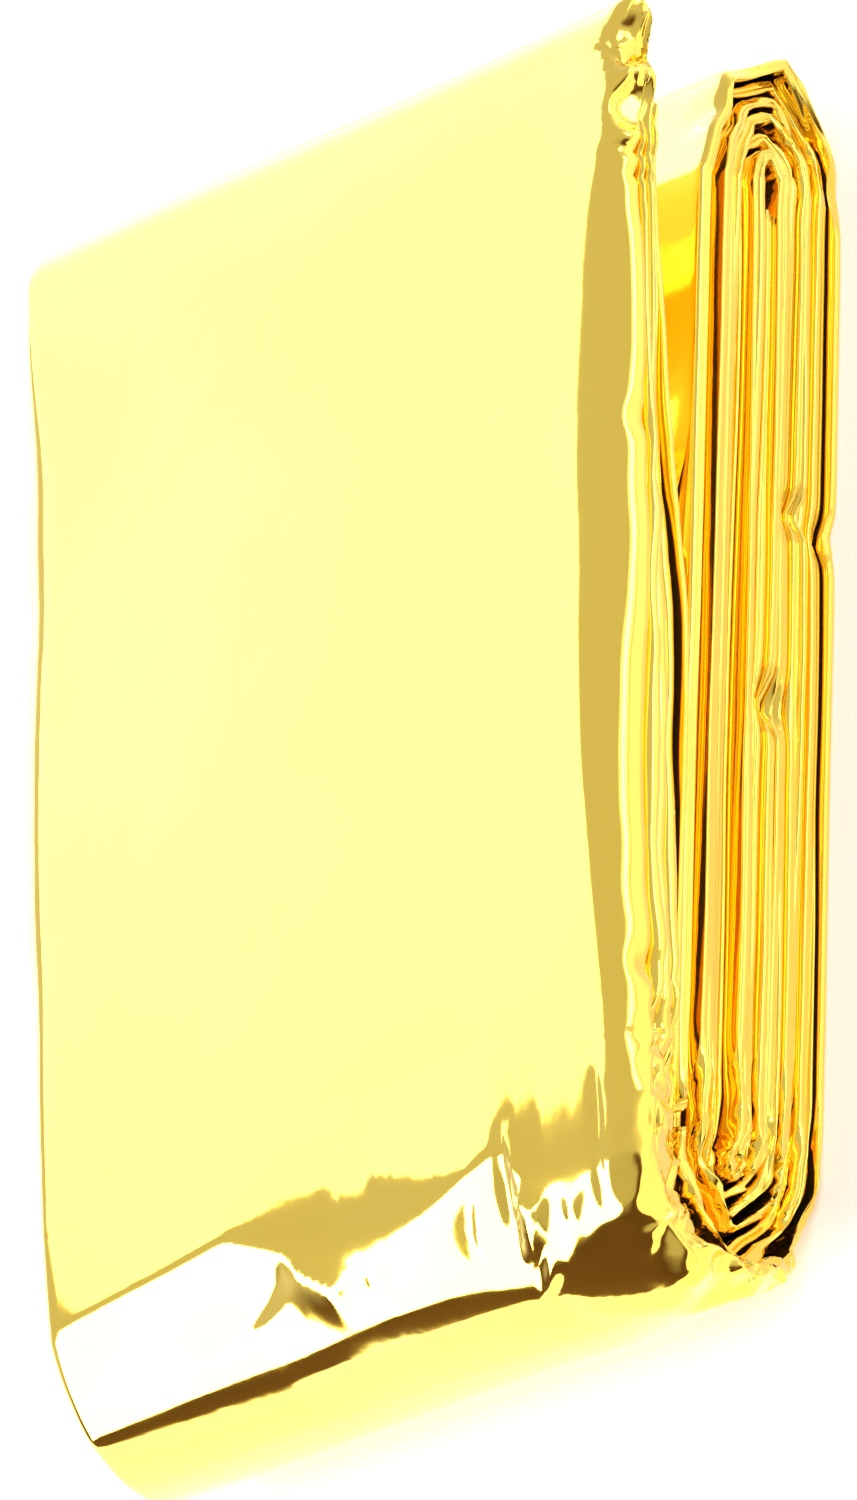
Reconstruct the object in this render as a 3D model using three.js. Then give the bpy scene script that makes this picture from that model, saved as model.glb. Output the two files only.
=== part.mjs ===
import * as THREE from "three";

// Emergency foil blanket, folded to a narrow strip and rolled flat: one strip of metallised film.
// Millimetres, +Z up. It lies on its rear face: the strip's width runs along X, the rolled length
// along Y with the big main fold at -Y, and the thickness of the roll along Z.
// A section of the roll is drawn in (v, z): v is the height above the main fold, z above the rear face.

const WIDTH = 82; // the folded strip, from one end of the roll to the other
const PLY = 1.02; // one turn of the roll: some twenty layers of film pressed together
const ROLL_DEPTH = 18.4; // the flat roll behind the front leaf, thirteen runs deep
const PITCH = (ROLL_DEPTH - PLY) / 12; // from one run to the next, with the air that the film keeps
const FLAP = 1.1; // the strip's loose outer end, behind the front leaf
const TOP_SPRING = 113; // the turns at the top start to bend here,
const TOP_LEAN = 1.6; // higher at the rear face than at the front by twice this
const BOTTOM_SPRING = 17.5; // and the turns at the bottom here
const RUN_STEPS = 6; // sections along a straight run
const LEAF_STEPS = 18; // along the front leaf
const FLAP_STEPS = 11; // along the loose outer end

// Front leaf, from its top edge down to the main fold. v: height; t: thickness of the puffed layers;
// face: its front face above the rear face; right, left: how far the ends stand out of the nominal
// width; round: depth of the rounded spine at the ends.
const LEAF = [
  { v: 121.2, t: 2.3, face: 30.4, right: -0.7, left: 0.2, round: 1.6 },
  { v: 116, t: 3.8, face: 30.7, right: -0.7, left: 0.3, round: 2.8 },
  { v: 109, t: 5.4, face: 30.8, right: -1.5, left: 0.4, round: 3.6 },
  { v: 99, t: 7.0, face: 30.7, right: -2.6, left: 0.3, round: 4.5 },
  { v: 87, t: 8.1, face: 30.6, right: -3.8, left: -0.1, round: 5.2 },
  { v: 74, t: 8.5, face: 30.5, right: -3.7, left: -0.6, round: 5.0 },
  { v: 61, t: 8.4, face: 30.5, right: -2.8, left: -1.2, round: 4.5 },
  { v: 48, t: 8.0, face: 30.4, right: -1.9, left: -2.0, round: 4.0 },
  { v: 36, t: 7.3, face: 30.2, right: -1.2, left: -2.8, round: 3.5 },
  { v: 27, t: 6.5, face: 29.8, right: -0.6, left: -3.5, round: 3.0 },
  { v: 20, t: 5.4, face: 29.1, right: -0.3, left: -3.8, round: 2.6 },
];

// Loose outer end: it hangs from the leaf's top edge behind the leaf, away from it, and then
// lies on the roll.
const FLAP_RUN = [
  { v: 20, z: 19.35, right: -1.6, left: -1.4 },
  { v: 36, z: 19.3, right: -1.2, left: -1.2 },
  { v: 53, z: 19.45, right: -0.9, left: -1.3 },
  { v: 68, z: 20.1, right: -0.7, left: -1.0 },
  { v: 82, z: 20.95, right: -0.9, left: -1.2 },
  { v: 95, z: 22.1, right: -0.6, left: -0.8 },
  { v: 107, z: 23.7, right: -0.4, left: -1.0 },
  { v: 116, z: 25.1, right: 0.1, left: -0.9 },
  { v: 121.2, z: 26.3, right: 0.2, left: -0.8 },
];

// The film folds over at the leaf's top edge, pressed thinner there.
const LEAF_TURN = { height: 2.9, thickness: 1.3, steps: 7 };

// Straight runs of the roll, from the rear one inward: how far their ends stand out of the width.
const RUNS = [
  { back: { right: -0.2, left: -0.5 }, front: { right: -0.9, left: -0.2 } },
  { back: { right: -0.8, left: 0.1 }, front: { right: -0.3, left: -1.1 } },
  { back: { right: -0.1, left: -0.9 }, front: { right: -1.2, left: -0.4 } },
  { back: { right: -1.1, left: -0.3 }, front: { right: -0.2, left: -0.8 } },
  { back: { right: -0.4, left: -1.2 }, front: { right: -0.9, left: 0.0 } },
  { back: { right: -1.3, left: -0.2 }, front: { right: -0.5, left: -1.0 } },
  { back: { right: -0.6, left: -0.7 } },
];

// Turns of the roll, outermost first. rise: above the top spring line; drop: below the bottom one;
// tuck: how far the ends of the turn draw in; steps: sections around it.
const TURNS = [
  { rise: 11.4, drop: 13.8, tuck: 1.1, steps: 10 },
  { rise: 9.5, drop: 12.1, tuck: 2.2, steps: 9 },
  { rise: 7.6, drop: 10.3, tuck: 1.3, steps: 8 },
  { rise: 5.7, drop: 8.4, tuck: 2.4, steps: 7 },
  { rise: 3.7, drop: 5.8, tuck: 1.6, steps: 6 },
  { rise: 1.7, drop: 1.0, tuck: 1.2, steps: 6 },
];
const RISE_LEAN = 0.1; // the tops of the turns lean towards the rear face

// Main fold at the foot: a blunt half turn from the front leaf around the roll to the rear run.
const FOLD = { height: 17.6, thickness: 3.0, blunt: 2.2, tuck: 0.7, steps: 15 };

// Knocks in the right end of the roll: where, how far in, and how wide along v and z.
const KNOCKS = [
  { v: 113.5, z: 27.5, depth: 1.5, alongV: 3.2, alongZ: 3.0 },
  { v: 92, z: 25.5, depth: 1.1, alongV: 2.6, alongZ: 2.6 },
  { v: 80, z: 4.8, depth: 1.6, alongV: 3.0, alongZ: 2.2 },
  { v: 60, z: 9.4, depth: 2.2, alongV: 4.0, alongZ: 2.4 },
  { v: 69.5, z: 17.0, depth: 0.9, alongV: 3.0, alongZ: 1.6 },
  { v: 27.5, z: 26.5, depth: 1.1, alongV: 3.0, alongZ: 2.6 },
  { v: 9, z: 21.5, depth: 2.6, alongV: 6.0, alongZ: 5.0 },
  { v: 4, z: 12.0, depth: 2.0, alongV: 5.0, alongZ: 5.0 },
];

// Soft dents across the main fold's front shoulder: place, depth and width.
const DENTS = [
  { x: -14, v: 9, depth: 0.7, alongX: 7, alongV: 8 },
  { x: 3, v: 13, depth: 0.9, alongX: 6, alongV: 9 },
  { x: 20, v: 16, depth: 1.2, alongX: 6, alongV: 9 },
  { x: 34, v: 18, depth: 0.9, alongX: 5, alongV: 8 },
];

// Stations across the strip between its rounded ends, as shares of the half width.
const STATIONS = [0.76, 0.56, 0.3, 0, -0.36, -0.78];

const bell = (distance, spread) => Math.exp(-((distance / spread) ** 2));
const ease = (from, to, value) => THREE.MathUtils.smoothstep(value, from, to);

// Rows of a table, resampled as a smooth curve with the given number of steps.
function resample(rows, steps) {
  const samples = [];
  for (let step = 0; step <= steps; step += 1) {
    const at = (step / steps) * (rows.length - 1);
    const row = Math.min(Math.floor(at), rows.length - 2);
    const near = [row - 1, row, row + 1, row + 2].map((i) => rows[THREE.MathUtils.clamp(i, 0, rows.length - 1)]);
    const sample = {};
    for (const key of Object.keys(rows[0])) {
      const [p0, p1, p2, p3] = near.map((each) => each[key]);
      const f = at - row;
      sample[key] =
        p1 + 0.5 * f * (p2 - p0 + f * (2 * p0 - 5 * p1 + 4 * p2 - p3 + f * (3 * (p1 - p2) + p3 - p0)));
    }
    samples.push(sample);
  }
  return samples;
}

// A half turn between two points of the section, bulging by `height` along v. Its thickness, ends
// and spine depth pass smoothly from the one side to the other, and its ends draw in by `tuck`.
function halfTurn(from, to, { height, blunt = 2, lean = 0, tuck = 0, thickness, steps }) {
  const turn = [];
  const middle = (from.z + to.z) / 2;
  const half = (to.z - from.z) / 2;
  for (let step = 1; step < steps; step += 1) {
    const angle = (Math.PI * step) / steps;
    const across = Math.sign(Math.cos(angle)) * Math.abs(Math.cos(angle)) ** (2 / blunt);
    const along = Math.sin(angle) ** (2 / blunt);
    const share = (1 - across) / 2;
    const mid = thickness === undefined ? 0 : thickness - (from.t + to.t) / 2;
    turn.push({
      v: THREE.MathUtils.lerp(from.v, to.v, share) + height * along * (1 + lean * across),
      z: middle - half * across,
      t: THREE.MathUtils.lerp(from.t, to.t, share) + mid * along * along,
      right: THREE.MathUtils.lerp(from.right, to.right, share) - tuck * along,
      left: THREE.MathUtils.lerp(from.left, to.left, share) - tuck * along,
      round: THREE.MathUtils.lerp(from.round, to.round, share),
    });
  }
  return turn;
}

// A straight run of the roll at height z above the rear face, from the bottom spring line upward.
function straightRun(z, ends, top) {
  const run = [];
  for (let step = 0; step <= RUN_STEPS; step += 1) {
    const v = THREE.MathUtils.lerp(BOTTOM_SPRING, top, step / RUN_STEPS);
    run.push({ v, z, t: PLY, right: ends.right, left: ends.left, round: PLY / 2 });
  }
  return run;
}

// Centre line of the whole strip, from its loose outer end to the core of the roll.
function centreLine() {
  const flap = resample(FLAP_RUN, FLAP_STEPS).map((row) => ({ ...row, t: FLAP, round: FLAP / 2 }));
  const leaf = resample(LEAF, LEAF_STEPS).map((row) => ({ ...row, z: row.face - row.t / 2 }));
  const line = [...flap];
  line.push(...halfTurn(flap.at(-1), leaf[0], LEAF_TURN), ...leaf);

  let last = leaf.at(-1);
  RUNS.forEach((run, index) => {
    const lean = TOP_LEAN * (1 - index / TURNS.length);
    const top = run.front ? TOP_SPRING + lean : TOP_SPRING - 2 * PITCH;
    const back = straightRun(PLY / 2 + PITCH * index, run.back, top);
    const turn = TURNS[index - 1];
    const around = index === 0
      ? { ...FOLD, height: -FOLD.height }
      : { ...turn, height: -turn.drop };
    line.push(...halfTurn(last, back[0], around), ...back);
    if (!run.front) return;
    const front = straightRun(ROLL_DEPTH - PLY / 2 - PITCH * index, run.front, TOP_SPRING - lean).reverse();
    const over = { ...TURNS[index], height: TURNS[index].rise, lean: RISE_LEAN };
    line.push(...halfTurn(back.at(-1), front[0], over), ...front);
    last = front.at(-1);
  });
  return line;
}

// How far the right end is knocked in at a point of the section.
function knock(v, z) {
  return KNOCKS.reduce((sum, k) => sum + k.depth * bell(v - k.v, k.alongV) * bell(z - k.z, k.alongZ), 0);
}

// How deep the front shoulder of the main fold is dented at a point of the strip.
function dent(x, v, z) {
  const front = ease(20, 24, z);
  return front * DENTS.reduce((sum, d) => sum + d.depth * bell(x - d.x, d.alongX) * bell(v - d.v, d.alongV), 0);
}

// Slow unevenness of the whole roll: the rear face stays flat, layers never cross.
function settle(x, v, z) {
  const across = x / (WIDTH / 2);
  const swell = 0.35 * Math.sin(2.1 * across + 0.6) * Math.sin((Math.PI * v) / 126)
    - 0.3 * Math.cos(3.4 * across) * Math.cos((Math.PI * v) / 90);
  const foot = 1.15 * across * (1 - ease(8, 46, v));
  const wave = 0.35 * Math.sin(2.6 * across + 0.12 * z);
  return { v: v - foot + wave, z: z * (1 + swell / 30) };
}

// The ring of points around the strip at one section, from the right end over the +normal side.
function ring(section, normal) {
  const right = WIDTH / 2 + section.right - knock(section.v, section.z);
  const left = -(WIDTH / 2 + section.left);
  const quarter = 1 - Math.SQRT1_2;
  const upper = [
    { x: right - section.round * quarter, side: Math.SQRT1_2 },
    { x: right - section.round, side: 1 },
    ...STATIONS.map((share) => ({ x: (share * WIDTH) / 2, side: 1 })),
    { x: left + section.round, side: 1 },
    { x: left + section.round * quarter, side: Math.SQRT1_2 },
  ];
  const lower = upper.map(({ x, side }) => ({ x, side: -side })).reverse();
  const loop = [{ x: right, side: 0 }, ...upper, { x: left, side: 0 }, ...lower];
  return loop.map(({ x, side }) => {
    const offset = (side * section.t) / 2;
    const v = section.v + normal.v * offset;
    const z = section.z + normal.z * offset;
    const push = dent(x, v, z);
    const settled = settle(x, v + push * 0.7 * (1 - ease(4, 16, v)), z - push * ease(0, 14, v));
    return new THREE.Vector3(x, settled.v, settled.z);
  });
}

// The closed skin of the strip: a ring at each section, joined along the line, with flat ends.
function stripGeometry(line) {
  const rings = line.map((section, i) => {
    const before = line[Math.max(i - 1, 0)];
    const after = line[Math.min(i + 1, line.length - 1)];
    const length = Math.hypot(after.v - before.v, after.z - before.z);
    return ring(section, { v: (before.z - after.z) / length, z: (after.v - before.v) / length });
  });
  const points = rings.flat();
  const around = rings[0].length;
  const faces = [];
  for (let i = 0; i + 1 < rings.length; i += 1) {
    for (let j = 0; j < around; j += 1) {
      const a = i * around + j;
      const b = i * around + ((j + 1) % around);
      faces.push(a, a + around, b, b, a + around, b + around);
    }
  }
  const lastRing = (rings.length - 1) * around;
  for (let j = 1; j + 1 < around; j += 1) {
    faces.push(0, j, j + 1);
    faces.push(lastRing, lastRing + j + 1, lastRing + j);
  }
  const geometry = new THREE.BufferGeometry().setFromPoints(points);
  geometry.setIndex(faces);
  return geometry;
}

const geometry = stripGeometry(centreLine());
geometry.computeBoundingBox();
const middle = geometry.boundingBox.getCenter(new THREE.Vector3());
geometry.translate(-middle.x, -middle.y, -geometry.boundingBox.min.z);
geometry.computeVertexNormals();

const goldFilm = new THREE.MeshStandardMaterial({ color: 0xe6c45a, roughness: 0.16, metalness: 1 });
const blanket = new THREE.Mesh(geometry, goldFilm);
blanket.name = "blanket";

const object = new THREE.Group();
object.add(blanket);

export default object;
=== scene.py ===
import bpy
import numpy as np
from mathutils import Matrix


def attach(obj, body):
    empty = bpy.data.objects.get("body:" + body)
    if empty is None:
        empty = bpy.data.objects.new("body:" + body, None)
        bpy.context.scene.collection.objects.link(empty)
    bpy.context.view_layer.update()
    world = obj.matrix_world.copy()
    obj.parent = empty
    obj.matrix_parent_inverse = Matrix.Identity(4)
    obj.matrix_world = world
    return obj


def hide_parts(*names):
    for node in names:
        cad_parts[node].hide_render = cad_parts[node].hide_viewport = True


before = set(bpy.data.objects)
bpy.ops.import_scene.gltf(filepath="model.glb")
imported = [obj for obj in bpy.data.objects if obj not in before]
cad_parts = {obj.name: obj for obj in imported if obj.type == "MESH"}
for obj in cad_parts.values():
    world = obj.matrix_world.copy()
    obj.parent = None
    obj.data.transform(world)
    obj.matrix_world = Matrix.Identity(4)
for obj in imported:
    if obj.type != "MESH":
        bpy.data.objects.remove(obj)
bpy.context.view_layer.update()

# --- Outer turn ------------------------------------------------------------------------------------
# The last turn of the rolled blanket: the puffed front leaf, the main fold at the foot, the rear face
# and the top. It is gold-lacquered polyester film, folded across its width to a strip of some twenty
# layers. Nothing fastens it: the loose end is folded over the leaf's top and hangs down behind the leaf.

# Lengths are in millimetres: x runs across the strip, v is the height above the main fold and z the
# height above the rear face. The strip is a centre line of sections. Each has its v, z and thickness t,
# how far its right and left ends stand out past the strip's width, how deep its last fold is rounded
# there, and the fan, which is how far its layers open near the ends.
SECTION = ("v", "z", "t", "right", "left", "round", "fan")
WIDTH = 82.0
OUTER_THICKNESS = 1.02  # of the outer turn where it is pressed flat
TURN_THICKNESS = 1.36  # of each turn inside
ROLL_DEPTH = 18.4
RUN_PITCH = (ROLL_DEPTH - OUTER_THICKNESS) / 12  # thirteen flat runs
TOP_SPRING, BOTTOM_SPRING = 113.0, 17.5  # heights between which the runs are flat
TOP_LEAN = 1.6  # how far the outermost back run goes above that height, and the front run stays below it
ARCH_LEAN = 0.1  # the share by which a turn at the top bulges more at its back and less at its front
PACKET_MIDDLE = 62.9  # the height that lies at y = 0

# The leaf, from its top to its foot. Its face is the z of its front.
LEAF_COLUMNS = ("v", "t", "face", "right", "left", "round", "fan")
LEAF = [
    (121.2, 2.3, 30.4, 2.2, 0.5, 1.0, 0.5),
    (116, 3.8, 30.7, 2.1, 0.4, 1.8, 0.3),
    (109, 5.0, 30.8, 1.5, 0.4, 3.4, 0.2),
    (99, 6.2, 30.7, 1.4, 0.5, 5.6, 0.2),
    (87, 7.2, 30.6, 1.7, 0.6, 6.2, 0.5),
    (74, 8.0, 30.5, 1.9, 0.6, 5.9, 0.9),
    (61, 8.3, 30.5, 2.0, -0.5, 5.1, 1.9),
    (48, 8.0, 30.4, 2.4, -2.2, 4.6, 2.4),
    (36, 7.6, 30.2, 3.3, -3.5, 3.9, 2.5),
    (27, 7.4, 29.8, 4.0, -4.3, 3.4, 2.4),
    (20, 6.8, 29.1, 3.8, -5.0, 2.6, 2.9),
]
# The loose end behind the leaf, from its tip up to the leaf's top.
FLAP_THICKNESS = 0.8
FLAP_COLUMNS = ("v", "z", "right", "left", "fan")
FLAP = [
    (12, 19.9, 0.2, -1.2, -0.9),
    (22, 19.3, 0.3, -1.4, -0.4),
    (36, 19.1, 0.2, -1.2, -0.2),
    (53, 19.1, 0.4, -1.3, -0.2),
    (64, 19.4, 0.2, -1.2, -0.5),
    (74, 20.7, 0.1, -1.0, -1.7),
    (82, 21.9, 0.2, -1.2, -1.9),
    (91, 22.9, 0.1, -0.9, -0.6),
    (100, 24.0, 0.0, -0.8, 0.0),
    (109, 25.2, 0.2, -1.0, 0.0),
    (116, 26.3, 0.1, -0.9, 0.0),
    (121.2, 27.0, 0.2, -0.8, 0.0),
]
FOLD_MIDDLE_V, FOLD_MIDDLE_Z = 19.0, 14.5
FOLD_DROP, FOLD_DEPTH = 17.6, 14.5  # its half sizes along v and z
FOLD_THICKNESS = 3.4
FOLD_FAN_PLACES = [0, 0.12, 0.28, 0.45, 0.6, 0.75, 1]  # shares of the way from the leaf to the rear face
FOLD_FAN = [2.9, 3.8, 4.0, 3.4, 2.0, 0, 0]

# Each run of the roll ends a little in or out of line: back right, back left, front right, front left.
RUN_ENDS = [
    (-0.2, -0.5, -0.3, -0.2),
    (-0.9, 0.1, -2.3, -1.1),
    (-1.3, -0.9, -0.3, -0.4),
    (0.0, -0.3, -0.8, -0.8),
    (-0.6, -1.2, -2.1, 0.0),
    (-0.2, -0.2, -0.4, -1.0),
    (-0.6, -0.7, 0.0, 0.0),
]
# Each turn's rise at the top, drop at the foot, and how far its ends are tucked in there.
TURNS = [
    (12.7, 13.8, 1.1),
    (11.1, 12.1, 1.6),
    (9.2, 10.3, 1.3),
    (7.4, 8.4, 1.9),
    (5.5, 6.4, 1.6),
    (3.2, 4.6, 1.2),
]
ROOF = [(1, 0), (0.88, 0.28), (0.24, 1.0), (-0.5, 0.94), (-1, 0)]  # a turn's corners: across it, height


def ease(low, high, value):
    """0 below low, 1 above high, and 3f^2 - 2f^3 of the way f between."""
    f = np.clip((value - low) / (high - low), 0, 1)
    return f * f * (3 - 2 * f)


def smooth_curve(rows, columns, steps):
    """A table's rows as a smooth curve of steps + 1 points: the Catmull-Rom cubic of each four rows,
    between the middle two."""
    table = np.array(rows, float)
    at = np.linspace(0, len(table) - 1, steps + 1)
    row = np.minimum(at.astype(int), len(table) - 2)
    p0, p1, p2, p3 = (table[np.clip(row + k, 0, len(table) - 1)] for k in (-1, 0, 1, 2))
    f = (at - row)[:, None]
    bend = 2 * p0 - 5 * p1 + 4 * p2 - p3
    curve = p1 + 0.5 * f * (p2 - p0 + f * (bend + f * (3 * (p1 - p2) + p3 - p0)))
    return dict(zip(columns, curve.T))


def half_turn(start, end, height, steps, blunt=2.0, lean=0.0, tuck=0.0, thickness=None, corners=None,
              edge=0.7):
    """The sections inside a half turn between two sections, bulging by height along v: across = cos and
    along = sin of the angle turned, both to the power 2 / blunt. With corners, the share edge of that form
    is the straight lines between them. A thickness is reached in the middle, as along^2."""
    turned = np.pi * np.arange(1, steps) / steps
    across = np.sign(np.cos(turned)) * np.abs(np.cos(turned)) ** (2 / blunt)
    along = np.sin(turned) ** (2 / blunt)
    if corners:
        place = np.linspace(0, np.pi, len(corners))
        wide, high = np.array(corners, float).T
        across = across * (1 - edge) + np.interp(turned, place, wide) * edge
        along = along * (1 - edge) + np.interp(turned, place, high) * edge
    turn = {key: start[key] + (end[key] - start[key]) * (1 - across) / 2 for key in SECTION}
    turn["v"] = turn["v"] + height * along * (1 + lean * across)
    if thickness is not None:
        turn["t"] = turn["t"] + (thickness - (start["t"] + end["t"]) / 2) * along ** 2
    turn["right"] = turn["right"] - tuck * along
    turn["left"] = turn["left"] - tuck * along
    return turn


def flat_run(z, thickness, right, left, low, high, steps):
    """A straight run of the roll at height z, from v = low to v = high."""
    v = np.linspace(low, high, steps + 1)
    level = dict(z=z, t=thickness, right=right, left=left, round=thickness / 2, fan=0.0)
    return {"v": v} | {key: v * 0 + value for key, value in level.items()}


def runs_of(turn, steps, thickness=TURN_THICKNESS):
    """The back run and the front run of one turn of the roll, a pitch further in for each turn. The lean
    fades evenly to the core, which has only a back run, two pitches shorter."""
    back_right, back_left, front_right, front_left = RUN_ENDS[turn]
    lean = TOP_LEAN * (1 - turn / len(TURNS))
    core = turn == len(TURNS)
    top = TOP_SPRING - 2 * RUN_PITCH if core else TOP_SPRING + lean
    depth = OUTER_THICKNESS / 2 + RUN_PITCH * turn
    back = flat_run(depth, thickness, back_right, back_left, BOTTOM_SPRING, top, steps)
    front = flat_run(ROLL_DEPTH - depth, TURN_THICKNESS, front_right, front_left, TOP_SPRING - lean,
                     BOTTOM_SPRING, steps)
    return back, front


def section_at(stretch, index):
    """One section of a stretch of the line: each column's value at the index."""
    return {key: stretch[key][index] for key in SECTION}


def joined(stretches):
    """Stretches of the line, end to end: each column is theirs, one after another."""
    return {key: np.concatenate([s[key] for s in stretches]) for key in SECTION}


def outer_line():
    """The strip from its loose end behind the leaf, over the leaf's top, down the leaf, round the main fold,
    up the rear face and over the roof of the roll to the foot of the first front run."""
    flap = smooth_curve(FLAP, FLAP_COLUMNS, steps=64)
    flap["t"] = flap["v"] * 0 + FLAP_THICKNESS
    flap["round"] = flap["t"] / 2
    leaf = smooth_curve(LEAF, LEAF_COLUMNS, steps=150)
    leaf["z"] = leaf["face"] - leaf["t"] / 2
    over = half_turn(section_at(flap, -1), section_at(leaf, 0), height=3.5, steps=12, thickness=1.3)
    back, front = runs_of(0, steps=44, thickness=OUTER_THICKNESS)
    fold = half_turn(section_at(leaf, -1), section_at(back, 0), height=-FOLD_DROP, steps=120, blunt=2.2,
                     tuck=0.7, thickness=FOLD_THICKNESS)
    fold["fan"] = np.interp(np.linspace(0, 1, len(fold["v"])), FOLD_FAN_PLACES, FOLD_FAN)
    arch = half_turn(section_at(back, -1), section_at(front, 0), height=TURNS[0][0], steps=48,
                     lean=ARCH_LEAN, tuck=0.4, thickness=1.5, corners=ROOF, edge=0.92)
    return joined([flap, over, leaf, fold, back, arch, front])


def wander(length, wave, count, seed):
    """Smooth random columns between -1 and 1 along a line: a new value every wave sections, and between
    two of them 3f^2 - 2f^3 of the way at the part f of the wave."""
    knots = np.random.default_rng(seed).uniform(-1, 1, (int(length / wave) + 4, count))
    at = np.arange(length) / wave
    row = at.astype(int)
    f = (at - row)[:, None]
    f = f * f * (3 - 2 * f)
    return knots[row] * (1 - f) + knots[row + 1] * f


def end_folds(edges, crests, roots, peaks, counts):
    """One end of each section as a row of folds. q runs through the thickness, from +1 to -1. Fold k lies
    between edges k and k + 1: x rises as a quarter ellipse from root k to its crest, at the share peaks[k]
    of the way, then falls as another to root k + 1."""
    xs, qs = [], []
    for k, count in enumerate(counts):
        high, low = edges[:, k:k + 1], edges[:, k + 1:k + 2]
        peak = high + (low - high) * peaks[k]
        turned = np.linspace(np.pi / 2, -np.pi / 2, count + 1)[None, :]
        if k < len(counts) - 1:
            turned = turned[:, :-1]
        root = np.where(turned > 0, roots[:, k:k + 1], roots[:, k + 1:k + 2])
        xs.append(root + (crests[:, k:k + 1] - root) * np.cos(turned))
        qs.append(peak + np.where(turned > 0, high - peak, peak - low) * np.sin(turned))
    return np.concatenate(xs, 1), np.concatenate(qs, 1)


def outer_ends(line):
    """The ends of the outer turn. Where it is puffed, the front fold is one broad round spine and the layers
    behind it are narrow folds that stand back; where it is pressed, they close up into one round end."""
    count = len(line["v"])
    puffed = ease(1.6, 4.5, line["t"])[:, None]
    ends = []
    for side, tip in enumerate((WIDTH / 2 + line["right"], WIDTH / 2 + line["left"])):
        tip = tip[:, None]
        drift = wander(count, 16, 4, 3 + side) * 0.35 + wander(count, 6, 4, 13 + side) * 0.12
        thick = ease(5.0, 8.0, line["t"] + line["fan"])[:, None]
        behind = np.array([-2.2, -1.6, -0.3, 0.0])[None, :] * thick
        crests = tip + behind + drift * puffed
        splits = np.array([0.72, 0.47, 0.14])[None, :] + wander(count, 12, 3, 23 + side) * 0.06
        one = np.ones((count, 1))
        edges = np.concatenate([one, splits, -one], 1)
        deep = np.array([1.2, 1.3, 1.8])[None, :] * puffed * (1 + 0.4 * wander(count, 10, 3, 33 + side))
        valleys = np.minimum(crests[:, :-1], crests[:, 1:]) - deep
        shallow = tip - (1 - puffed) * np.array([0.05, 0.03, 0.02])[None, :] * line["t"][:, None]
        valleys = valleys * puffed + shallow * (1 - puffed)
        start = crests[:, :1] - line["t"][:, None] * 0.3
        roots = np.concatenate([start, valleys, tip - line["round"][:, None]], 1)
        ends.append(end_folds(edges, crests, roots, peaks=(0.5, 0.5, 0.5, 0.12), counts=(5, 5, 7, 15)))
    return ends


def skin_around(line, ends, inner_stations, outer_stations):
    """The film as rings of points: (x, v, z) = (x, line + normal * (q * t / 2 + opened)), where (x, q) runs
    flat along the inner side, q = 1, round the right end, back along the outer side, q = -1, and round the
    left end. A positive fan opens the side q > 0 near both ends, a negative one the side q < 0 near the
    right end."""
    v, z, t = line["v"], line["z"], line["t"]
    run = np.concatenate([[0], np.cumsum(np.hypot(np.diff(v), np.diff(z)))])
    slope_v, slope_z = np.gradient(v, run), np.gradient(z, run)
    length = np.hypot(slope_v, slope_z)
    (right_x, right_q), (left_x, left_q) = ends
    first, last = right_x[:, :1], right_x[:, -1:]
    left_first, left_last = -left_x[:, :1], -left_x[:, -1:]
    inner = left_first + (first - left_first) * inner_stations[None, 1:-1]
    outer = last + (left_last - last) * outer_stations[None, 1:-1]
    x = np.concatenate([inner, right_x, outer, -left_x[:, ::-1]], 1)
    q = np.concatenate([inner * 0 + 1, right_q, outer * 0 - 1, left_q[:, ::-1]], 1)
    fan = line["fan"][:, None]
    opened = np.maximum(fan, 0) * ease(0.0, 1.0, q) * ease(30, 39, np.abs(x) + 3 * (x < 0))
    opened = opened + np.minimum(fan, 0) * ease(0.0, 1.0, -q) * ease(30, 36, x) * (1 - ease(38.6, 39.6, x))
    offset = q * t[:, None] / 2 + opened
    ring_v = v[:, None] - slope_z[:, None] / length[:, None] * offset
    ring_z = z[:, None] + slope_v[:, None] / length[:, None] * offset
    return np.stack([x, ring_v, ring_z], -1)


# The main fold in polar form about its middle: angle 90 faces the front, 0 is the lowest line. Its skin is
# creased along lines that run across the blanket: x, then the angles of the first to the fourth crease.
CREASES = [
    (-45, 66, 56, 25, 23.4),
    (-36, 67.5, 57, 25.5, 23.2),
    (-31, 64.5, 62, 26, 22.9),
    (-18, 70, 68, 28, 22.6),
    (-9, 76, 73, 29.3, 22.2),
    (0, 79, 60, 30.5, 22.0),
    (5, 79, 54, 31.5, 22.0),
    (10, 76, 54, 32.5, 22.5),
    (16, 73, 59, 33, 23.5),
    (20, 71, 63, 31.5, 24.0),
    (24, 70, 68, 28.5, 24.0),
    (27.5, 75, 72, 25.5, 21.5),
    (30, 69, 61, 29.5, 17.0),
    (33, 66, 55, 33.5, 13.0),
    (37, 67, 54, 38.5, 9.0),
    (38.8, 68, 55, 38.8, 8.0),
    (40.6, 61, 56, 39.0, 7.0),
    (42.6, 74, 57, 39.3, 6.0),
    (46, 74, 57, 39.5, 5.0),
]
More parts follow.
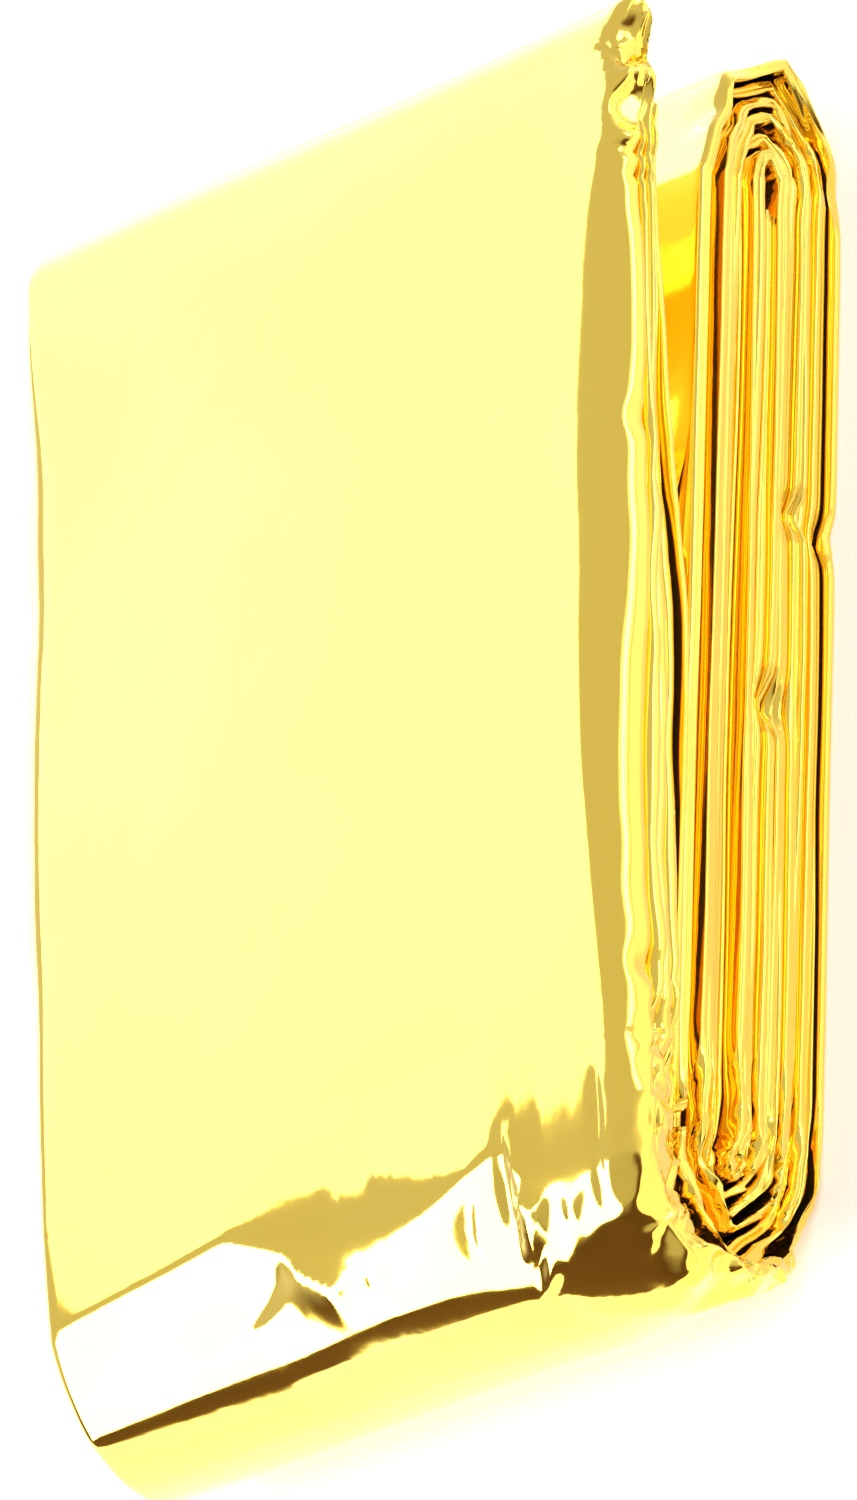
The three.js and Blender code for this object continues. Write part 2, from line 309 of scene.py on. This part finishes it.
# Five bands from the leaf's face down: the slope in degrees at the top and at the bottom of each.
BAND_SLOPES = [(5, 11.5), (11.5, 20.5), (26, 54), (57.5, 61.5), (65, 69)]
FACE_ANGLE = 104  # where the first band starts
LAST_BAND = 7  # degrees below the fourth crease
DEGREE = 0.27  # millimetres to a degree for the tongues and pleats: a little under the skin's own 0.3
FOLD_SECTIONS = slice(205, 340)  # the leaf's foot and most of the fold, among the outer line's sections
PLAIN_STATION = -60  # a point of each ring on the outer side, near x = -10, where nothing is fanned
TONGUE_SLOPE, TONGUE_CURVE = 7.5, 0.7  # about the slope in degrees at the crease, and half its gain a degree
# Tongues of the second band reach down over the third: x at angle 60, and the angle of the tongue's edge.
TONGUES = [
    (-3.0, 64), (-2.0, 58), (-0.4, 53.5), (1.4, 49), (2.9, 46.5), (4.4, 48.5), (6.0, 51.5), (7.8, 51),
    (9.8, 48), (11.6, 52.5), (13.6, 58), (14.4, 90), (29.0, 90), (29.9, 55), (31.6, 50), (33.3, 51),
    (34.8, 62), (36.0, 51), (37.1, 47.5), (38.2, 52), (39.0, 58),
]
TONGUE_LEANS = [(-6, 0.0), (4, 0.0), (9, 0.1), (28, 0.16), (40, 0.16)]  # x, and x per degree
# Pleats: x and angle at the upper end, x and angle at the lower end, bow, height, and the width of the left
# and right sides.
PLEATS = [
    (-3.4, 62, -14.6, 38, 2.4, -0.55, 5.0, 1.7),
    (24.0, 64, 21.2, 40, -0.8, -0.30, 2.5, 1.1),
    (27.8, 80, 26.4, 48, 1.2, -0.28, 1.4, 0.7),
    (29.0, 80, 27.4, 48, 1.4, 0.26, 1.0, 1.4),
    (40.4, 86, 38.4, 42, 0.6, -0.30, 1.0, 1.0),
    (30.0, 38, 26.0, 22, 0.4, 0.40, 1.2, 1.2),
]


def fold_angle(v, z):
    """The polar angle about the main fold's middle, atan2(forward, down) in degrees, and the distance, both
    in units of the fold's half sizes."""
    forward, down = (z - FOLD_MIDDLE_Z) / FOLD_DEPTH, (FOLD_MIDDLE_V - v) / FOLD_DROP
    return np.degrees(np.arctan2(forward, down)), np.hypot(forward, down)


def crease_rise(v, z):
    """How far the creased skin stands off its plain form, on a grid of x and angle: the running sum, along
    the fold, of the plain slope less the creased one, less an even share of what is left at its end. In a
    band the creased slope changes evenly from its top to its bottom."""
    angle, _ = fold_angle(v, z)
    order = np.argsort(angle)
    plain = np.degrees(np.unwrap(np.arctan2(-np.gradient(z), -np.gradient(v))))
    run = np.concatenate([[0], np.cumsum(np.hypot(np.diff(v), np.diff(z)))])
    angles = np.linspace(FACE_ANGLE, 0, 4 * FACE_ANGLE + 1)
    plain = np.interp(angles, angle[order], plain[order])
    step = np.abs(np.gradient(np.interp(angles, angle[order], run[order])))
    xs = np.linspace(-46, 48, 377)
    table = np.array(CREASES, float)
    first, second, third, fourth = (np.interp(xs, table[:, 0], table[:, k])[:, None] for k in (1, 2, 3, 4))
    lines = (FACE_ANGLE, first, second, third, fourth, fourth - LAST_BAND)
    creased = np.repeat(plain[None, :], len(xs), 0)
    for upper, lower, (start, end) in zip(lines[:-1], lines[1:], BAND_SLOPES):
        place = (upper - angles[None, :]) / (upper - lower)
        creased = np.where((place > 0) & (place <= 1), start + (end - start) * place, creased)
    rise = np.cumsum(np.radians(plain[None, :] - creased) * step[None, :], 1)
    return xs, angles, rise - rise[:, -1:] * (np.cumsum(step) / step.sum())[None, :]


def look_up(table, xs, angles, x, angle):
    """The grid's value at each x and angle, linear both ways between its four nearest entries."""
    at_x = np.clip((x - xs[0]) / (xs[1] - xs[0]), 0, len(xs) - 1.001)
    at_a = np.clip((angles[0] - angle) / (angles[0] - angles[1]), 0, len(angles) - 1.001)
    ix, ia = at_x.astype(int), at_a.astype(int)
    fx, fa = at_x - ix, at_a - ia
    upper = (table[ix, ia] * (1 - fx) + table[ix + 1, ia] * fx) * (1 - fa)
    return upper + (table[ix, ia + 1] * (1 - fx) + table[ix + 1, ia + 1] * fx) * fa


def tongue_rise(x, angle):
    """Tongues below the second crease: b degrees below it the skin has risen by DEGREE * radians(b *
    (TONGUE_SLOPE + TONGUE_CURVE * b)), up to the tongue's edge. From there it falls to nothing at the
    third crease, as the square of the way that is left."""
    creases, leans, tongues = (np.array(rows, float) for rows in (CREASES, TONGUE_LEANS, TONGUES))
    second, third = (np.interp(x, creases[:, 0], creases[:, k]) for k in (2, 3))
    leant = x + (60 - angle) * np.interp(x, leans[:, 0], leans[:, 1])
    edge = np.minimum(np.interp(leant, tongues[:, 0], tongues[:, 1]), second)
    edge = np.where((leant < tongues[0, 0]) | (leant > tongues[-1, 0]), second, edge)
    below, deep = np.clip(second - angle, 0, None), second - edge
    left = np.clip((angle - third) / (edge - third), 0, 1)
    rising = below * (TONGUE_SLOPE + TONGUE_CURVE * below)
    falling = deep * (TONGUE_SLOPE + TONGUE_CURVE * deep) * left ** 2
    return np.clip(np.minimum(rising, falling) * DEGREE * np.pi / 180, 0, None)


def pleat_rise(x, angle):
    """Pleats, each a tent along a bowed line of x and angle: its height times sin(pi * place along it)^0.7
    less the distance to the line in widths, where that is positive."""
    rise = x * 0
    for x0, a0, x1, a1, bow, height, left, right in PLEATS:
        place = np.clip((a0 - angle) / (a0 - a1), 0, 1)
        away = x - x0 - (x1 - x0) * place - bow * np.sin(np.pi * place)
        away = away * abs(a1 - a0) * DEGREE / np.hypot(x1 - x0, (a1 - a0) * DEGREE)
        away = np.where(away < 0, -away / left, away / right)
        rise = rise + height * np.maximum(np.sin(np.pi * place) ** 0.7 - away, 0)
    return rise


def crease_main_fold(points):
    """The skin with its creases, tongues and pleats: each point moves by their rise along (sin, cos) of its
    angle, so away from the fold's middle. Points nearer the middle than 0.62 of the way out stay."""
    x, v, z = points[..., 0], points[..., 1], points[..., 2]
    angle, distance = fold_angle(v, z)
    xs, angles, table = crease_rise(*points[FOLD_SECTIONS, PLAIN_STATION, 1:].T)
    rise = look_up(table, xs, angles, x, angle) + tongue_rise(x, angle) + pleat_rise(x, angle)
    rise = rise * ease(0.62, 0.9, distance)
    turned = np.radians(np.clip(angle, 0, 90))
    return np.stack([x, v - rise * np.cos(turned), z + rise * np.sin(turned)], -1)


def settle(points):
    """The slow unevenness of the whole roll. z swells by sine waves of x and v in proportion to z, so the
    rear face stays flat on what it lies on. v falls evenly towards the right at the foot, waves with x and
    z, and rises at the rear corner on the right."""
    x, v, z = points[..., 0], points[..., 1], points[..., 2]
    across = x / (WIDTH / 2)
    swell = 0.35 * np.sin(2.1 * across + 0.6) * np.sin(np.pi * v / 126)
    swell = swell - 0.3 * np.cos(3.4 * across) * np.cos(np.pi * v / 90)
    hang = 1.15 * across * (1 - ease(8, 46, v))
    wave = 0.35 * np.sin(2.6 * across + 0.12 * z)
    corner = 1.5 * ease(22, 42, x) * (1 - ease(0, 16, v)) * (1 - ease(7, 16, z))
    return np.stack([x, v - hang + wave + corner, z * (1 + swell / 30)], -1)


# Where the skin is broken into flat triangles: x, v, z of the middle, the reach along each, strength.
CORNER_BREAKS = [(44, 6, 10, 5, 11, 12, 2.5), (43, 121, 9, 4, 6, 12, 1.0)]
SPINE_BREAKS = [
    (43, 119, 28, 3.0, 4.5, 3, 2.6),
    (45, 104, 27, 2.0, 3, 2, 1.6),
    (45, 85, 25.5, 2.0, 2.0, 2, 1.6),
    (45, 16, 21, 3.0, 8, 5, 2.2),
    (44, 6, 10, 4, 10, 11, 2.0),
]


def broken(grid, places, rows, columns, size, seed):
    """The surface redrawn in flat triangles near some places: nodes of a slanting lattice of section and
    ring numbers lie at random on the surface, moved by up to size, and each point between is linear in them.
    The share of it is strength * exp(-distance^2 in reaches) less 0.08."""
    count, ring = grid.shape[:2]
    rng = np.random.default_rng(seed)
    shift = rng.uniform(-1, 1, (64, 64, 5))
    i, j = np.meshgrid(np.arange(count), np.arange(ring), indexing="ij")
    slant = 0.45
    a, b = i / rows + slant * j / columns, j / columns - slant * i / rows
    whole_a, whole_b = np.floor(a).astype(int), np.floor(b).astype(int)
    part_a, part_b = a - whole_a, b - whole_b
    first = part_a > part_b
    high, low = np.maximum(part_a, part_b), np.minimum(part_a, part_b)
    flat = np.zeros_like(grid)
    for step_a, step_b, share in ((0, 0, 1 - high), (first * 1, ~first * 1, high - low), (1, 1, low)):
        node_a, node_b = whole_a + step_a, whole_b + step_b
        moved = shift[node_a % 64, node_b % 64]
        at_a, at_b = node_a + 0.38 * moved[..., 0], node_b + 0.38 * moved[..., 1]
        at_i = np.clip(rows * (at_a - slant * at_b) / (1 + slant ** 2), 0, count - 1.001)
        at_j = columns * (at_b + slant * at_a) / (1 + slant ** 2)
        i0, j0 = at_i.astype(int), np.floor(at_j).astype(int)
        fi, fj = (at_i - i0)[..., None], (at_j - j0)[..., None]
        j1 = (j0 + 1) % ring
        j0 = j0 % ring
        sample = (grid[i0, j0] * (1 - fi) + grid[i0 + 1, j0] * fi) * (1 - fj)
        sample = sample + (grid[i0, j1] * (1 - fi) + grid[i0 + 1, j1] * fi) * fj
        flat = flat + share[..., None] * (sample + moved[..., 2:] * size)
    near = np.zeros(grid.shape[:2])
    for row in places:
        offset = (grid - np.array(row[:3])) / np.array(row[3:6])
        near = np.maximum(near, row[6] * np.exp(-(offset ** 2).sum(-1)))
    near = np.clip(near - 0.08, 0, 1)[..., None]
    return grid * (1 - near) + flat * near


# Dents pressed by planes: a point x, v, z of the plane, its direction, its reach, the share that stays.
PRESSES = [
    (41.5, 2.0, 9, 0.5, -0.85, 0.05, 7, 0.2),
    (41.5, 13, 4, 0.85, -0.45, -0.20, 7, 0.2),
    (40.6, 114, 3, 0.80, 0.25, -0.50, 3.0, 0.1),
    (41.2, 113.2, 28.2, 0.87, 0.10, 0.48, 2.8, 0.1),
    (40.6, 119.0, 28.6, 0.80, 0.35, 0.50, 3.0, 0.1),
]
# Knocks on the right end: v, z, depth, and the size along v and z.
KNOCKS = [
    (80, 4.8, 1.6, 1.6, 1.4),
    (60, 7.4, 2.4, 2.2, 1.6),
    (79, 1.0, 1.2, 1.8, 1.4),
    (82, 26.8, 0.8, 1.6, 1.2),
    (26.5, 26.5, 0.9, 1.6, 1.4),
    (109.0, 28.6, 0.9, 0.6, 2.0),
    (106.6, 27.6, 0.6, 0.6, 1.2),
]
# Crumples: x, v, z of the middle, the reach along each, the size of the facets, and how far they move.
CRUMPLES = [
    (43, 7, 13, 4.5, 11, 10, 6.0, 1.6),
    (43, 5, 10, 4.5, 9, 10, 3.0, 0.8),
    (43, 120, 28, 4.0, 5, 4, 2.4, 1.1),
    (42, 119, 9, 5, 7, 12, 5.0, 0.8),
    (45, 15, 21, 3, 8, 5, 4.0, 1.3),
    (43, 70, 23, 3, 30, 3, 5.0, 0.35),
    (41, 60, 9, 3.5, 60, 12, 16.0, 0.2),
    (0, 60, 24, 90, 90, 20, 26.0, 0.15),
]


def facets(points, cell, seed):
    """Random vectors on a lattice of tetrahedra, linear inside each one, so that a surface moved by them
    breaks into flat facets with sharp creases."""
    rng = np.random.default_rng(seed)
    table = rng.uniform(-1, 1, (24, 24, 24, 3))
    turned, _ = np.linalg.qr(rng.normal(size=(3, 3)))
    at = points @ turned / cell + 500.5
    corner = np.floor(at).astype(int)
    inside = at - corner
    order = np.argsort(-inside, axis=-1)
    parts = np.take_along_axis(inside, order, -1)
    parts = np.concatenate([parts, parts[..., :1] * 0], -1)
    value = (1 - parts[..., :1]) * table[tuple(np.moveaxis(corner % 24, -1, 0))]
    for k in range(3):
        corner = corner + np.eye(3, dtype=int)[order[..., k]]
        share = parts[..., k:k + 1] - parts[..., k + 1:k + 2]
        value = value + share * table[tuple(np.moveaxis(corner % 24, -1, 0))]
    return value


def crumple(points):
    """Knocks push x in by depth * exp(-distance^2 in sizes). Points beyond a press's plane are pushed back
    towards it, keeping a share of their distance. Then the facets of each crumple are added, fading as
    exp(-distance^2 in reaches) from its middle, and nothing goes below z = 0."""
    moved = points.copy()
    for knock_v, knock_z, depth, size_v, size_z in KNOCKS:
        off_v, off_z = (moved[..., 1] - knock_v) / size_v, (moved[..., 2] - knock_z) / size_z
        moved[..., 0] -= depth * np.exp(-off_v ** 2 - off_z ** 2) * ease(28, 41, moved[..., 0])
    for row in PRESSES:
        centre, way, reach, keep = np.array(row[:3]), np.array(row[3:6]), row[6], row[7]
        way = way / np.linalg.norm(way)
        offset = moved - centre
        beyond = offset @ way
        aside = np.linalg.norm(offset - beyond[..., None] * way, axis=-1)
        push = np.maximum(beyond, 0) * (1 - keep) * (1 - ease(0.5 * reach, 1.3 * reach, aside))
        moved = moved - push[..., None] * way
    for number, row in enumerate(CRUMPLES):
        cell, size = row[6:]
        offset = (points - np.array(row[:3])) / np.array(row[3:6])
        near = np.exp(-(offset ** 2).sum(-1))[..., None]
        bent = points + facets(points, cell * 2.3, 60 + number) * cell * 0.35
        moved = moved + near * facets(bent, cell, 40 + number) * size
    off_the_table = ease(0.0, 4.0, points[..., 2])
    moved[..., 2] = points[..., 2] + (moved[..., 2] - points[..., 2]) * off_the_table
    moved[..., 2] = np.maximum(moved[..., 2], 0)
    return moved


def film_piece(name, rings):
    """A closed mesh, in metres, of rings of points in millimetres: four-sided faces between neighbouring
    rings, and a fan from the middle of the first and of the last ring over each end."""
    rings = (rings - [0, PACKET_MIDDLE, 0]) * 0.001
    count, around, _ = rings.shape
    index = np.arange(count * around).reshape(count, around)
    after = np.roll(index, -1, 1)
    quads = np.stack([index[:-1], after[:-1], after[1:], index[1:]], -1).reshape(-1, 4)
    first, last = count * around, count * around + 1
    fans = np.concatenate([np.stack([np.full(around, first), after[0], index[0]], -1),
                           np.stack([np.full(around, last), index[-1], after[-1]], -1)])
    mesh = bpy.data.meshes.new(name)
    points = np.concatenate([rings.reshape(-1, 3), rings[[0, -1]].mean(1)])
    mesh.from_pydata(points.tolist(), [], quads.tolist() + fans.tolist())
    mesh.shade_smooth()
    mesh.update()
    piece = bpy.data.objects.new(name, mesh)
    bpy.context.scene.collection.objects.link(piece)
    return piece


line = outer_line()
stations = np.concatenate([np.linspace(0, 0.4, 58), np.linspace(0.4, 1, 48)[1:]])  # closer at the right
rings = skin_around(line, outer_ends(line), np.linspace(0, 1, 24), stations)
rings = settle(crease_main_fold(rings))
rings = broken(rings, CORNER_BREAKS, rows=9, columns=9, size=0.5, seed=21)
rings = crumple(broken(rings, SPINE_BREAKS, rows=4, columns=5, size=0.3, seed=22))
outer_turn = film_piece("outer_turn", rings)


def linear(hex_colour):
    """An sRGB hex colour as linear RGBA: c / 12.92 below 0.04045, else ((c + 0.055) / 1.055)^2.4."""
    parts = [int(hex_colour[i:i + 2], 16) / 255 for i in (1, 3, 5)]
    return [c / 12.92 if c <= 0.04045 else ((c + 0.055) / 1.055) ** 2.4 for c in parts] + [1.0]


def add_node(tree, kind, settings=None, sockets=None, **values):
    """A shader node with its settings. Each socket, by name or number, gets a constant, or a link if it is
    given another node's output."""
    node = tree.nodes.new(kind)
    for key, value in (settings or {}).items():
        setattr(node, key, value)
    for key, value in {**(sockets or {}), **values}.items():
        socket = node.inputs[key if isinstance(key, int) else key.replace("_", " ")]
        if isinstance(value, bpy.types.NodeSocket):
            tree.links.new(value, socket)
        else:
            socket.default_value = value
    return node


def gold_film():
    """Polyester film 12 microns thick, metallised and lacquered gold. The metal makes it a mirror, and the
    lacquer tints it warm yellow and adds its own clear gloss. The lacquer's depth drifts over about 30 mm.
    Handling has left fine crinkles 3 to 9 mm across and a faint haze."""
    material = bpy.data.materials.new("gold metallised polyester film")
    material.use_nodes = True
    tree = material.node_tree
    tree.nodes.clear()
    place = add_node(tree, "ShaderNodeTexCoord").outputs["Object"]

    def noise(size, detail):
        """Noise with features of a size in metres."""
        return add_node(tree, "ShaderNodeTexNoise", Vector=place, Scale=1 / size, Detail=detail,
                        Roughness=0.5).outputs["Fac"]

    tint = add_node(tree, "ShaderNodeMix", {"data_type": "RGBA"},
                    {0: noise(0.030, 1.0), 6: linear("#FFDB54"), 7: linear("#FFD746")})
    haze = add_node(tree, "ShaderNodeMapRange", Value=noise(0.012, 2.0), From_Min=0.3, From_Max=0.7,
                    To_Min=0.05, To_Max=0.09)
    fine = add_node(tree, "ShaderNodeBump", Height=noise(0.0035, 2.0), Strength=0.22, Distance=0.00008)
    cells = add_node(tree, "ShaderNodeTexVoronoi", {"feature": "DISTANCE_TO_EDGE"}, Vector=place,
                     Scale=1 / 0.009)
    broad = add_node(tree, "ShaderNodeBump", Height=cells.outputs["Distance"], Normal=fine.outputs["Normal"],
                     Strength=0.25, Distance=0.0001).outputs["Normal"]
    surface = add_node(tree, "ShaderNodeBsdfPrincipled", Base_Color=tint.outputs[2], Metallic=0.985,
                       Roughness=haze.outputs[0], Coat_Weight=1.0, Coat_Roughness=0.05, Normal=broad,
                       Coat_Normal=broad)
    add_node(tree, "ShaderNodeOutputMaterial", Surface=surface.outputs["BSDF"])
    return material


film = gold_film()
outer_turn.data.materials.append(film)
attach(outer_turn, "root")
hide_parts("blanket")

# --- Roll ------------------------------------------------------------------------------------------
# The rest of the strip, the same film wound flat inside the outer turn, down to a flat core. Only its
# own folds and the outer turn hold it. Each turn shows its end as one or two round folds of film.

KEEL = [(1, 0), (0.8, 0.45), (-0.25, 1.0), (-0.84, 0.5), (-1, 0)]  # as ROOF, for a turn at the foot


def roll_line():
    """The strip from the foot of the first front run to the core: a turn at the foot, a back run, a turn at
    the top and a front run, again and again, each a pitch further in."""
    stretches = []
    last = section_at(runs_of(0, 1)[1], -1)
    for turn in range(1, len(RUN_ENDS)):
        back, front = runs_of(turn, 84)
        drop, tuck = TURNS[turn - 1][1:]
        foot = half_turn(last, section_at(back, 0), height=-drop, steps=26, tuck=tuck, corners=KEEL)
        stretches += [foot, back]
        if turn < len(TURNS):
            rise, _, tuck = TURNS[turn]
            top = half_turn(section_at(back, -1), section_at(front, 0), height=rise, steps=26,
                            lean=ARCH_LEAN, tuck=tuck * 0.6, corners=ROOF, edge=0.85)
            stretches += [top, front]
            last = section_at(front, -1)
    return joined(stretches)


def roll_ends(line):
    """The ends of the turns: two folds whose crests wander, parted by a groove, 0.2 deep at most, that comes
    and goes. All of it fades in over the first ten sections."""
    count = len(line["v"])
    calm = ease(0, 10, np.arange(count))[:, None]
    ends = []
    for side, tip in enumerate((WIDTH / 2 + line["right"], WIDTH / 2 + line["left"])):
        tip = tip[:, None]
        drift = wander(count, 30, 2, 70 + side) * 0.35 + wander(count, 9, 2, 75 + side) * 0.06
        crests = tip + drift * calm
        split = 0.5 * wander(count, 45, 1, 80 + side)
        one = np.ones((count, 1))
        groove = 0.2 * ease(-0.3, 0.6, wander(count, 40, 1, 85 + side)) * calm
        depth = 0.22 + 0.10 * wander(count, 50, 1, 88 + side)
        valley = crests.min(1, keepdims=True) - groove
        roots = np.concatenate([crests[:, :1] - depth, valley, crests[:, 1:] - depth], 1)
        edges = np.concatenate([one, split, -one], 1)
        ends.append(end_folds(edges, crests, roots, peaks=(0.5, 0.5), counts=(7, 7)))
    return ends


line = roll_line()
rings = settle(skin_around(line, roll_ends(line), np.linspace(0, 1, 12), np.linspace(0, 1, 12)))
rings = crumple(broken(rings, CORNER_BREAKS, rows=4, columns=5, size=0.3, seed=23))
roll = film_piece("roll", rings)
roll.data.materials.append(film)
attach(roll, "root")
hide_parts("blanket")

# --- Table -----------------------------------------------------------------------------------------
# A round white acrylic table top, 2.8 m across, that glows a little, as one lit from below does. It is
# smooth and dull, so it shows as plain pale ground.

TABLE_RADIUS = 1.4
angle = np.linspace(0, 2 * np.pi, 97)[:-1]
rim = np.stack([np.cos(angle), np.sin(angle), angle * 0], -1) * TABLE_RADIUS
floor_mesh = bpy.data.meshes.new("floor")
floor_mesh.from_pydata(rim.tolist(), [], [list(range(len(rim)))])
floor = bpy.data.objects.new("floor", floor_mesh)
bpy.context.scene.collection.objects.link(floor)
acrylic = bpy.data.materials.new("white acrylic table")
acrylic.use_nodes = True
acrylic_surface = acrylic.node_tree.nodes["Principled BSDF"]
acrylic_surface.inputs["Base Color"].default_value = linear("#F2F2F2")
acrylic_surface.inputs["Roughness"].default_value = 0.6
acrylic_surface.inputs["Emission Color"].default_value = linear("#FFFFFF")
acrylic_surface.inputs["Emission Strength"].default_value = 0.3
floor_mesh.materials.append(acrylic)

# --- Soft boxes ------------------------------------------------------------------------------------
# Plain rectangular soft boxes on stands, out of the camera's view. Each one stands where a part of the
# film mirrors it: the leaf's face, the main fold, or the ends of the turns. The side fill alone is not
# mirrored, and lights the table.


def soft_box(name, direction, distance, width, height, radiance, mirrored=True, wide=None):
    """A soft box that faces the object from a direction and distance. Its width runs level, or as near to
    the direction wide as it can. Its power is radiance * pi * width * height, so that radiance is what a
    mirror sees in it."""
    light = bpy.data.lights.new(name, "AREA")
    light.shape = "RECTANGLE"
    light.size, light.size_y = width, height
    light.energy = radiance * np.pi * width * height
    box = bpy.data.objects.new(name, light)
    back = np.array(direction, float) / np.linalg.norm(direction)
    side = np.cross([0, 0, 1], back) if wide is None else np.array(wide) - back * np.dot(wide, back)
    side /= np.linalg.norm(side)
    rise = np.cross(back, side)
    matrix = np.eye(4)
    matrix[:3] = np.stack([side, rise, back, back * distance], 1)
    box.matrix_world = Matrix(matrix.tolist())
    box.visible_glossy = mirrored
    bpy.context.scene.collection.objects.link(box)


ALONG_X = (1, 0, 0)
soft_box("front box", (-0.671, 0.568, 0.477), 1.4, width=0.62, height=1.55, radiance=2.1, wide=ALONG_X)
soft_box("fold box", (-0.671, -0.49, 0.56), 1.2, width=0.62, height=1.0, radiance=7.5, wide=ALONG_X)
soft_box("side strip", (0.86, 0.41, 0.25), 1.2, width=0.8, height=0.44, radiance=0.9)
soft_box("side tube", (0.86, 0.41, 0.25), 1.18, width=0.8, height=0.2, radiance=3.8)
soft_box("side fill", (0.6, 0.3, 0.75), 1.4, width=0.9, height=0.9, radiance=1.6, mirrored=False)
soft_box("left box", (-0.9, 0.42, 0.12), 1.4, width=0.9, height=0.36, radiance=2.0)

# --- Room ------------------------------------------------------------------------------------------
# The light walls of the studio, with one dark, warm wall low down towards -y, past the main fold. The
# fold mirrors it as a brown band.

# Height from 0, straight down, to 1, straight up; red; and green's share of red, squared for blue.
DARK_WALL = [
    (0.0, 0.9, 1), (0.49, 0.9, 1), (0.50, 0.16, 0.5), (0.61, 0.11, 0.5), (0.67, 0.3, 0.85),
    (0.73, 0.55, 1), (1.0, 0.6, 1),
]
LIGHT_WALLS = [
    (0.0, 0.9, 1), (0.49, 0.9, 1), (0.50, 1.0, 1), (0.60, 0.8, 1), (0.72, 0.68, 1), (1.0, 0.68, 1),
]
DARK_UP_TO, LIGHT_FROM = -0.45, -0.1  # the y of a direction's unit vector, between which the walls blend

world = bpy.data.worlds.new("studio")
bpy.context.scene.world = world
world.use_nodes = True
room = world.node_tree
room.nodes.clear()
way = add_node(room, "ShaderNodeTexCoord").outputs["Generated"]
parts = add_node(room, "ShaderNodeSeparateXYZ", sockets={0: way})
height = add_node(room, "ShaderNodeMapRange", Value=parts.outputs["Z"], From_Min=-1.0, From_Max=1.0)
walls = []
for stops in (DARK_WALL, LIGHT_WALLS):
    ramp = add_node(room, "ShaderNodeValToRGB", sockets={0: height.outputs[0]})
    elements = ramp.color_ramp.elements
    elements[0].position, elements[1].position = stops[0][0], stops[-1][0]
    for stop in stops[1:-1]:
        elements.new(stop[0])
    for element, (_, red, share) in zip(sorted(elements, key=lambda e: e.position), stops):
        element.color = (red, red * share, red * share ** 2, 1)
    walls.append(ramp.outputs[0])
away = add_node(room, "ShaderNodeMapRange", {"interpolation_type": "SMOOTHSTEP"},
                Value=parts.outputs["Y"], From_Min=DARK_UP_TO, From_Max=LIGHT_FROM)
mixed = add_node(room, "ShaderNodeMix", {"data_type": "RGBA"},
                 {0: away.outputs[0], 6: walls[0], 7: walls[1]})
background = add_node(room, "ShaderNodeBackground", Color=mixed.outputs[2], Strength=1.0)
add_node(room, "ShaderNodeOutputWorld", Surface=background.outputs[0])

# --- Camera ----------------------------------------------------------------------------------------
# A full-frame camera with a long lens, 1.5 m away, off the packet's right end and main fold and looking
# down on it. It is rolled, so that the packet stands upright in the picture.

AZIMUTH, ELEVATION, ROLL = np.radians([58.42, 38.04, -67.48])
CAMERA_DISTANCE = 1.5
AIM = np.array([0.0, 0.0, 0.013])
level_share = np.cos(ELEVATION)
back = np.array([np.sin(AZIMUTH) * level_share, -np.cos(AZIMUTH) * level_share, np.sin(ELEVATION)])
level = np.cross([0, 0, 1], back)
level /= np.linalg.norm(level)
rise = np.cross(back, level)
matrix = np.eye(4)
matrix[:3, 0] = np.cos(ROLL) * level + np.sin(ROLL) * rise
matrix[:3, 1] = np.cos(ROLL) * rise - np.sin(ROLL) * level
matrix[:3, 2] = back
matrix[:3, 3] = AIM + back * CAMERA_DISTANCE
lens = bpy.data.cameras.new("camera")
lens.sensor_fit = "VERTICAL"
lens.sensor_height = 36
lens.lens = 383.8
lens.shift_x, lens.shift_y = -0.00104, 0.01997
camera = bpy.data.objects.new("camera", lens)
camera.matrix_world = Matrix(matrix.tolist())
bpy.context.scene.collection.objects.link(camera)
bpy.context.scene.camera = camera
bpy.context.scene.view_settings.view_transform = "Standard"
